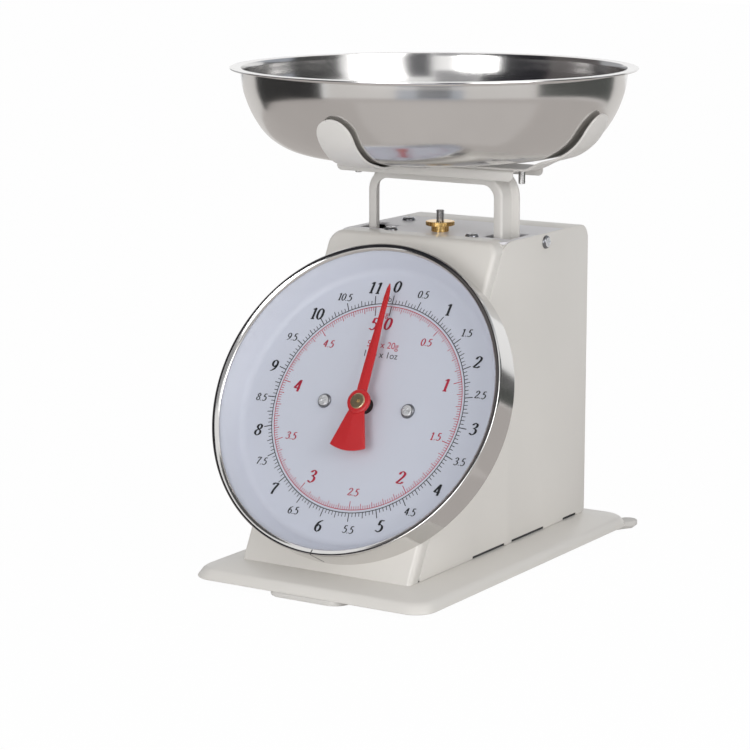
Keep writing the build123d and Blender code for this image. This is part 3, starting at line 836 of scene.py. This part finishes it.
def pen_line(points, curved):
    """The stroke's centre line as a mesh of short edges."""
    path = bpy.data.curves.new("pen", "CURVE")
    path.dimensions = "2D"
    path.fill_mode = "NONE"
    path.resolution_u = 5
    spline = path.splines.new("BEZIER")
    spline.bezier_points.add(len(points) - 1)
    for knot, (x, y) in zip(spline.bezier_points, points):
        knot.co = (x, y, 0)
        knot.handle_left_type = knot.handle_right_type = "AUTO" if curved else "VECTOR"
    holder = bpy.data.objects.new("pen", path)
    mesh = bpy.data.meshes.new_from_object(holder)
    bpy.data.objects.remove(holder)
    bpy.data.curves.remove(path)
    return mesh


def cut_figure(sign, nib, hair):
    """A figure drawn with a broad nib: heavy uprights and fine cross strokes."""
    bm = bmesh.new()
    for curved, points in FIGURES[sign]:
        line = pen_line(points, curved)
        for step in (Vector((nib, 0, 0)), Vector((0, hair, 0))):
            before = set(bm.edges)
            bm.from_mesh(line)
            fresh = [e for e in bm.edges if e not in before]
            moved, _ = extrude(bm, fresh, step)
            if step.y:
                shifted = {v for e in fresh for v in e.verts} | set(moved)
                bmesh.ops.translate(bm, vec=(nib / 2, -hair / 2, 0), verts=list(shifted))
        bpy.data.meshes.remove(line)
    mesh = bpy.data.meshes.new("figure_" + sign)
    bm.to_mesh(mesh)
    bm.free()
    return mesh


def set_figures(bm, text, spot, height, alphabet, spacing):
    """Prints a number upright, centred on its spot."""
    slant = Matrix.Identity(4)
    slant[0][1] = LEAN
    widths = [POINT_WIDTH if sign == "." else spacing for sign in text]
    pen_x = -sum(widths) / 2
    for sign, width in zip(text, widths):
        seat = Matrix.Translation(spot) @ Matrix.Scale(height, 4)
        seat = seat @ slant @ Matrix.Translation((pen_x, -0.5, 0))
        bmesh.ops.transform(bm, matrix=seat, verts=add_mesh(bm, alphabet[sign]))
        pen_x += width


heavy = {sign: cut_figure(sign, 0.23, 0.10) for sign in FIGURES}
light = {sign: cut_figure(sign, 0.20, 0.11) for sign in FIGURES}


def graduate(bm, count, pitch, inner, kinds, inwards=False):
    """Prints the divisions of one scale. Each kind is its spacing, length and width."""
    for step in range(count):
        length, width = next(size for every, *size in kinds if step % every == 0)
        start = inner - length if inwards else inner
        tick(bm, step * pitch - TURN, start, start + length, width)


def number_scale(bm, count, pitch, ends, whole_at, half_at, height, spacing):
    """Prints the whole numbers heavy and the halves light. The end ones keep clear."""
    for half in range(count):
        angle = half * pitch / 2 - 2 * TURN
        if half in (0, count - 1):
            angle = ends[half > 0]
        if half % 2:
            set_figures(bm, str(half / 2), polar(half_at, angle), 4.3, light, 0.64)
        else:
            spot = polar(whole_at(angle), angle)
            set_figures(bm, str(half // 2), spot, height, heavy, spacing)


def drawn_in(angle):
    """Radius of the pounds, which stand a little closer at the sides."""
    return 74.2 - 1.5 * abs(sin(radians(angle)))


pounds = bmesh.new()
ring_line(pounds, POUND_RING, 0.5)
OUNCES = ((8, 5.2, 0.55), (4, 3.6, 0.48), (1, 2.4, 0.42))
graduate(pounds, 11 * 16 + 1, POUND / 16, POUND_RING, OUNCES)
number_scale(pounds, 23, POUND, (-0.5, 348.0), drawn_in, 73.2, 6.8, 0.66)
for kilo in (0, 5):
    tick(pounds, kilo * KILO - TURN, KILO_RING - 5.6, KILO_RING, 0.5)
black_ink = ink("black_ink", (0.012, 0.012, 0.016))
on_dial(pounds, "pound_scale", "housing", black_ink, "dial_enamel")

kilos = bmesh.new()
ring_line(kilos, KILO_RING, 0.42)
TWENTIES = ((25, 5.2, 0.48), (5, 3.4, 0.40), (1, 2.2, 0.34))
graduate(kilos, 251, KILO / 50, KILO_RING, TWENTIES, inwards=True)
number_scale(kilos, 11, KILO, (-0.8, 348.6), lambda angle: 51.2, 51.0, 7.2, 0.64)
red_ink = ink("red_ink", (0.50, 0.012, 0.045))
on_dial(kilos, "kilogram_scale", "housing", red_ink, "pointer_red")


def small_print(name, text, spot, height, material, slot):
    """A short word set in a plain type and printed on the plate."""
    words = bpy.data.curves.new(name, "FONT")
    words.body = text
    words.align_x = "CENTER"
    words.align_y = "CENTER"
    words.size = height
    holder = bpy.data.objects.new(name, words)
    mesh = bpy.data.meshes.new_from_object(holder)
    bpy.data.objects.remove(holder)
    bm = bmesh.new()
    bm.from_mesh(mesh)
    bpy.data.meshes.remove(mesh)
    bmesh.ops.translate(bm, vec=PRINT_SHIFT + Vector((*spot, PRINT_Z)), verts=bm.verts)
    on_dial(bm, name, "housing", material, slot)


small_print("unit_pounds", "lb", (-3.6, 66.0), 5.0, black_ink, "dial_enamel")
small_print("unit_kilos", "kg", (-3.6, 56.6), 5.0, red_ink, "pointer_red")
small_print("span_kilos", "5kg x 20g", (0.0, 38.0), 5.6, red_ink, "pointer_red")
small_print("span_pounds", "11lb x 1oz", (0.0, 32.0), 5.6, black_ink, "dial_enamel")

# ---- bezel
# A rolled band of polished stainless steel. Its front edge is curled over the
# crystal, and its ends meet in a fine seam at the foot of the dial.
band_line = [
    (93.2, -18.8), (94.1, -18.8), (94.1, -16), (94.1, -2.4), (94.1, -0.9), (94.02, -0.45),
    (93.75, -0.12), (93.3, 0), (92.5, -0.14), (91.6, -0.5), (90.8, -0.95), (90.25, -1.4),
    (90, -1.9), (90.7, -1.9), (90.9, -1.5), (93.2, -1.1),
]
band = spun(band_line, 240, closed=True)
dial_axis = dial_frame.copy()
dial_axis.translation = dial_centre * MM
bezel_steel = metal("bezel_steel", (0.70, 0.69, 0.68), 0.11, 0.05, dial_axis, 1500)
smooth(on_dial(band, "bezel_band", "housing", bezel_steel, "bezel_chrome", "bezel_ring"), 50)

seam_line = [
    (94.2, -16), (94.2, -0.9), (93.8, 0), (93.3, 0.12), (92.5, -0.02), (91.6, -0.38), (90.8, -0.83),
]
seam = bmesh.new()
sweep(seam, seam_line, -90.2, 0.35, 1)
seam_shade = metal("seam_shade", (0.10, 0.10, 0.10), 0.4)
on_dial(seam, "bezel_seam", "housing", seam_shade, "bezel_chrome")

# ---- crystal
# A flat disc of clear acrylic held behind the curled edge.
pane, tree, clear = new_material("clear_acrylic")
feed(tree, clear, {"Base Color": (0.03, 0.03, 0.035, 1), "Roughness": 0.03, "Alpha": 0.05})
disc = spun([(0, -2.55), (92.9, -2.55), (92.9, -1.95), (90.6, -1.95), (0, -1.95)], 120)
smooth(on_dial(disc, "crystal_pane", "housing", pane, "crystal_clear", "crystal"))

# ---- pointer
# Stamped from thin sheet and sprayed red: a tapered needle, a fan-shaped
# counterweight, and a low boss pressed on to the spindle.
red_paint = enamel("pointer_enamel", (0.60, 0.018, 0.022), 0.35, 0.05)
BLADE_BACK = -9.0
BLADE_GAUGE = 0.8
FAN_HALF = 12.0
FAN_REACH = 29.5
bm = bmesh.new()
side_line = [(2.95, 30), (1.85, 50), (1.65, 63), (1.15, 69.3), (0.12, 72.5)]
fan = [FAN_HALF * (step / 6 - 1) for step in range(13)]
outline = [(3.5, 0)] + side_line + [(-x, y) for x, y in reversed(side_line)] + [(-3.5, 0)]
outline += [(x, -sqrt(FAN_REACH ** 2 - x * x)) for x in fan]
bm.faces.new([bm.verts.new((x, y, BLADE_BACK)) for x, y in outline])
bmesh.ops.translate(bm, vec=(0, 0, BLADE_GAUGE), verts=extrude_faces(bm, bm.faces[:]))
face_out(bm)
top_rim = [e for e in bm.edges if all(v.co.z > BLADE_BACK + 0.7 for v in e.verts)]
round_off(bm, top_rim, 0.25, 2)
boss_line = [(0, -9), (7.4, -9), (7.4, -8), (7.2, -7.6), (6.8, -7.3), (6.2, -7.1), (5.2, -7), (0, -7)]
absorb(bm, spun(boss_line, 64))
smooth(on_dial(bm, "needle", "pointer_shaft", red_paint, "pointer_red", "pointer"), 35)

# ---- pointer cap
# A turned brass button that pins the needle to the spindle.
brass_look = metal("turned_brass", (0.60, 0.48, 0.30), 0.36, 0.25, dial_axis)
button_line = [(0, -6.55), (2.0, -6.52), (3.9, -6.5), (4.5, -6.6), (4.7, -6.8), (4.7, -7), (0, -7)]
button = spun(button_line, 48)
smooth(on_dial(button, "cap_button", "pointer_shaft", brass_look, "brass", "pointer_cap"), 40)

# ---- bail
# One folded strip carries the cradle: a web, a front flange turned inwards and
# a rear flange turned outwards, bent round at the shoulders.
low, high = in_mm(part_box("bail"))
BAIL_WEB = 46.4
BAIL_CORNER = 13.5
WEB_TOP = 229.6
FRONT_FLANGE = 5.7
REAR_FLANGE = 4.8
FLANGE_FOOT = 180
PLATE_UNDERSIDE = 233.8
bail_front, bail_back, bail_foot = low.y, high.y - 1.2, low.z
bm = bmesh.new()
section = [
    (-BAIL_WEB + FRONT_FLANGE, bail_front), (-BAIL_WEB, bail_front),
    (-BAIL_WEB, bail_back), (-BAIL_WEB - REAR_FLANGE, bail_back),
]
live = sum(draw_line(bm, [(x, y, FLANGE_FOOT) for x, y in section]), [])


def pull(geometry, move):
    """Extrudes the strip's end by a straight move."""
    verts, edges = extrude(bm, [g for g in geometry if isinstance(g, bmesh.types.BMEdge)], move)
    return verts + edges


def bend_strip(geometry, x, z):
    """Bends the strip through a quarter turn about a line along Y."""
    bent = bmesh.ops.spin(
        bm, geom=geometry, cent=(x, 0, z), axis=(0, 1, 0), angle=pi / 2, steps=12
    )["geom_last"]
    return [g for g in bent if not isinstance(g, bmesh.types.BMFace)]


centre_x, centre_z = BAIL_WEB - BAIL_CORNER, WEB_TOP - BAIL_CORNER
live = pull(live, (0, 0, centre_z - FLANGE_FOOT))
live = bend_strip(live, -centre_x, centre_z)
live = pull(live, (2 * centre_x, 0, 0))
live = bend_strip(live, centre_x, centre_z)
pull(live, (0, 0, FLANGE_FOOT - centre_z))
bmesh.ops.remove_doubles(bm, verts=bm.verts, dist=0.001)
for vert in bm.verts:
    vert.co.z = min(vert.co.z, PLATE_UNDERSIDE)
low_edges = [e for e in bm.edges if all(v.co.z < FLANGE_FOOT + 0.1 for v in e.verts)]
feet_of_web = [e for e in low_edges if all(abs(abs(v.co.x) - BAIL_WEB) < 0.1 for v in e.verts)]
extrude(bm, feet_of_web, (0, 0, bail_foot - FLANGE_FOOT))
face_out(bm)
web_face = max(bm.faces, key=lambda f: f.calc_area())
if web_face.normal.x * web_face.calc_center_median().x < 0:
    bmesh.ops.reverse_faces(bm, faces=bm.faces)
creases = []
for edge in bm.edges:
    on_web = all(min(abs(v.co.y - bail_front), abs(v.co.y - bail_back)) < 0.01 for v in edge.verts)
    if on_web and len(edge.link_faces) == 2 and edge.calc_face_angle() > 1.0:
        creases.append(edge)
round_off(bm, creases, 1.3, 3)
bail_paint = enamel("bail_enamel", (0.66, 0.64, 0.61))
sheet_piece(bm, "bail_strip", "carriage", bail_paint, "bail_paint", "bail", 1.2, 0.3)

# ---- cradle plate
# A channel folded from 1.2 mm sheet, skirts down and ends open, welded on top of
# the bail. The lower corners of its skirts are rounded.
low, high = in_mm(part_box("cradle_plate"))
bm = bmesh.new()
end_spots = ((low.y, low.z), (low.y, high.z), (high.y, high.z), (high.y, low.z))
end_line = [(low.x, y, z) for y, z in end_spots]
extrude(bm, draw_line(bm, end_line)[1], (high.x - low.x, 0, 0))
for side in (low.y, high.y):
    corners = [v for v in bm.verts if abs(v.co.y - side) < 0.01 and v.co.z < low.z + 0.1]
    round_off(bm, corners, 3.2, 6, "VERTICES")
face_out(bm, (0, 0, 1))
folds = [
    e for e in bm.edges
    if len(e.link_faces) == 2 and all(v.co.z > high.z - 0.1 for v in e.verts)
]
round_off(bm, folds, 1.6, 5)
sheet_piece(bm, "cradle_channel", "carriage", bail_paint, "bail_paint", "cradle_plate", 1.2, 0.3)

# ---- bowl
# Spun from stainless sheet and polished: a flat foot, a full round flank and a
# plain flat rim with a curled edge. It lifts off.
BOWL_Y = 11.0
BOWL_SEAT = 240.0
bowl_line = [
    (60, BOWL_SEAT), (66, 240.15), (70, 240.5), (75, 241.3), (80, 242.4),
    (85.5, 244.2), (90.4, 246.6), (94.8, 249.5), (98.5, 252.7), (101.4, 256), (104, 259.8),
    (106.2, 263.5), (107.9, 266.8), (110.6, 273.5), (112.5, 280), (113.4, 286), (113.8, 289.8),
]


def smooth_profile(points):
    """The same line with rounded runs between its points."""
    line = pen_line(points, True)
    rounded = [(v.co.x, v.co.y) for v in line.vertices]
    bpy.data.meshes.remove(line)
    return rounded


def offset_profile(points, distance):
    """A copy of a line, moved sideways, away from the axis and down."""
    moved = []
    for i, (r, z) in enumerate(points):
        r0, z0 = points[max(i - 1, 0)]
        r1, z1 = points[min(i + 1, len(points) - 1)]
        run = Vector((r1 - r0, z1 - z0)).normalized()
        moved.append((max(r + distance * run.y, 0), z - distance * run.x))
    return moved


flank = [(0.0, BOWL_SEAT), (40.0, BOWL_SEAT)] + smooth_profile(bowl_line)
inside = offset_profile(flank, -0.9)
rim_line = [
    (114.2, 290.8), (115, 291.1), (118.9, 291), (119.6, 290.9), (120, 291.3),
    (119.9, 291.8), (119.3, 292), (114.3, 292), (113.4, 291.7),
]
bowl = spun(flank + rim_line + list(reversed(inside)), 256)
shift(bowl, 0, BOWL_Y, 0)
bowl_axis = Matrix.Translation((0, BOWL_Y * MM, 0))
bowl_steel = metal("bowl_steel", (0.72, 0.71, 0.70), 0.16, 0.12, bowl_axis, 900)
smooth(stand_for(bowl, "bowl_shell", "bowl", bowl_steel, "bowl_steel", "bowl"), 50)

# ---- cradle cross
# Two strips of 1.2 mm sheet that cross on the plate. All four ends turn up, a
# little clear of the bowl, and are rounded. The bowl rests on the front and back arms.
ARM_HALF = 11.6
ARM_TIP = 269.2
STRIP_Z = 235.0
side_run = [(20, STRIP_Z), (69, STRIP_Z), (72, 236.3), (75, 237.9), (78, 239.3)]
front_run = [(20, STRIP_Z), (29, STRIP_Z), (35, 238.8), (74, 238.8), (78, 239.5)]
turn_up = smooth_profile([
    (81, 240.4), (85, 241.4), (90.5, 243.2), (95.2, 245.7), (99.3, 248.7), (103, 252.2),
    (106, 256), (108.4, 260), (110.4, 264), (112.5, ARM_TIP),
])
ROUND_STEPS = 10
COLUMNS = 12


def arm_half_width(z):
    """Half the arm's width at a height: even, with a half-round end."""
    rise = max(z - ARM_TIP + ARM_HALF, 0)
    return sqrt(max(ARM_HALF ** 2 - rise ** 2, 0))


def arm_rows(run):
    """The arm's line from the hub outwards, with close rows round its tip."""
    rows = [point for point in run + turn_up if point[1] < ARM_TIP - ARM_HALF - 0.3]
    upper = [point for point in turn_up if point[1] >= ARM_TIP - ARM_HALF - 0.3]
    for step in range(ROUND_STEPS + 1):
        z = ARM_TIP - ARM_HALF * (1 - sin(step / ROUND_STEPS * pi / 2))
        above = next(i for i, point in enumerate(upper) if point[1] >= z - 0.001)
        (r0, z0), (r1, z1) = upper[max(above - 1, 0)], upper[max(above, 1)]
        rows.append((r0 + (r1 - r0) * (z - z0) / (z1 - z0), z))
    return rows


bm = bmesh.new()
for quarter in range(4):
    rows = arm_rows(side_run if quarter % 2 else front_run)
    grid = bmesh.ops.create_grid(bm, x_segments=COLUMNS, y_segments=len(rows) - 1, size=1)["verts"]
    for vert in grid:
        r, z = rows[round((vert.co.y + 1) / 2 * (len(rows) - 1))]
        x = vert.co.x * arm_half_width(z)
        vert.co = (x, -sqrt(r * r - x * x), z)
    turn_about_z(bm, quarter * 90, grid)
bmesh.ops.remove_doubles(bm, verts=bm.verts, dist=0.01)
bmesh.ops.create_circle(
    bm, cap_ends=True, segments=48, radius=24, matrix=Matrix.Translation((0, 0, STRIP_Z - 0.02))
)
face_out(bm)
for face in bm.faces:
    away = face.calc_center_median()
    outward = Vector((away.x, away.y, 0 if away.z > 246 else -90))
    if face.normal.dot(outward) < 0:
        face.normal_flip()
shift(bm, 0, BOWL_Y, 0)
sheet_piece(bm, "cradle_arms", "carriage", bail_paint, "cradle_paint", "cradle_cross", 1.2, 0.3, 35)

# ---- cradle screws
# Two countersunk M4 screws whose plain ends stick out under the plate.
zinc = metal("bright_zinc", (0.62, 0.62, 0.62), 0.25, 0.15)
screws = bmesh.new()
for x in (-56.5, 56.5):
    shank_line = [(0, 225.5), (1.6, 225.5), (2, 225.9), (2, 234.2), (3.8, 236), (0, 236)]
    shank = spun(shank_line, 32)
    shift(shank, x, 17, 0)
    absorb(screws, shank)
smooth(stand_for(screws, "plate_screws", "carriage", zinc, "screw_steel", "cradle_screws"))

# ---- zero stud
# An M5 stud, rolled with a 0.8 mm thread, that hangs the spring in the housing.
low, high = in_mm(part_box("hanger_stud"))
stud_x, stud_y = (low.x + high.x) / 2, (low.y + high.y) / 2
stud_top, stud_foot = high.z, low.z
thread = [(0, stud_top), (1.9, stud_top), (2.2, stud_top - 0.35)]
crest = stud_top - 0.6
while crest > 188:
    thread += [(2.5, crest), (2.5, crest - 0.1), (2.08, crest - 0.42), (2.08, crest - 0.5)]
    crest -= 0.8
thread += [(2.5, 187), (2.5, stud_foot), (0, stud_foot)]
stud = spun(thread, 32)
shift(stud, stud_x, stud_y, 0)
smooth(stand_for(stud, "zero_stud", "hanger", steel, "screw_steel", "hanger_stud"), 25)

# ---- zero nut
# Turned from brass bar: a straight-knurled disc over a narrower ribbed hub that
# bears on the top plate. Turning it lifts the spring and sets the zero.
low, high = in_mm(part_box("zero_nut"))
HUB_HEIGHT = 3.6
NUT_HEIGHT = 6.2
nut_foot = low.z
nut_shoulder, nut_top = nut_foot + HUB_HEIGHT, nut_foot + NUT_HEIGHT


def knurled_ring(radius, z0, z1, ribs, depth):
    """A short cylinder with straight ribs round its edge."""
    ring = bmesh.new()
    bmesh.ops.create_cone(
        ring, cap_ends=True, segments=ribs * 3, radius1=radius - depth, radius2=radius - depth,
        depth=z1 - z0, matrix=Matrix.Translation((0, 0, (z0 + z1) / 2)),
    )
    walls = sorted(
        (f for f in ring.faces if abs(f.normal.z) < 0.5),
        key=lambda f: Vector((1, 0)).angle_signed(f.calc_center_median().xy),
    )
    ribs_out = [f for i, f in enumerate(walls) if i % 3 != 0]
    for vert in extrude_faces(ring, ribs_out):
        flat = Vector((vert.co.x, vert.co.y, 0))
        vert.co += flat.normalized() * depth
        vert.co.z += 0.35 if vert.co.z < (z0 + z1) / 2 else -0.35
    bmesh.ops.delete(ring, geom=ribs_out, context="FACES")
    face_out(ring)
    return ring


nut = bmesh.new()
absorb(nut, knurled_ring(8.7, nut_shoulder, nut_top, 36, 0.6))
absorb(nut, knurled_ring(5.25, nut_foot, nut_shoulder, 20, 0.4))
shift(nut, stud_x, stud_y, 0)
nut_axis = Matrix.Translation((stud_x * MM, stud_y * MM, 0))
nut_brass = metal("nut_brass", (0.80, 0.55, 0.22), 0.2, 0.15, nut_axis)
smooth(stand_for(nut, "knurled_nut", "zero_nut", nut_brass, "brass", "zero_nut"), 25)

# ---- inner mechanism
# Levers, pins, bracket, rack, pinion and spring behind the dial. They are zinc
# plated steel and brass, and only show through the slots.
finish_solids(zinc, "upper_lever", "lower_lever", "movement_bracket", "rack_carrier", "spring_yoke")
finish_solids(steel, "lever_pivots", "carriage_pins", "spring_bar", "spring")
finish_solids(brass_look, "rack", "pinion_shaft")
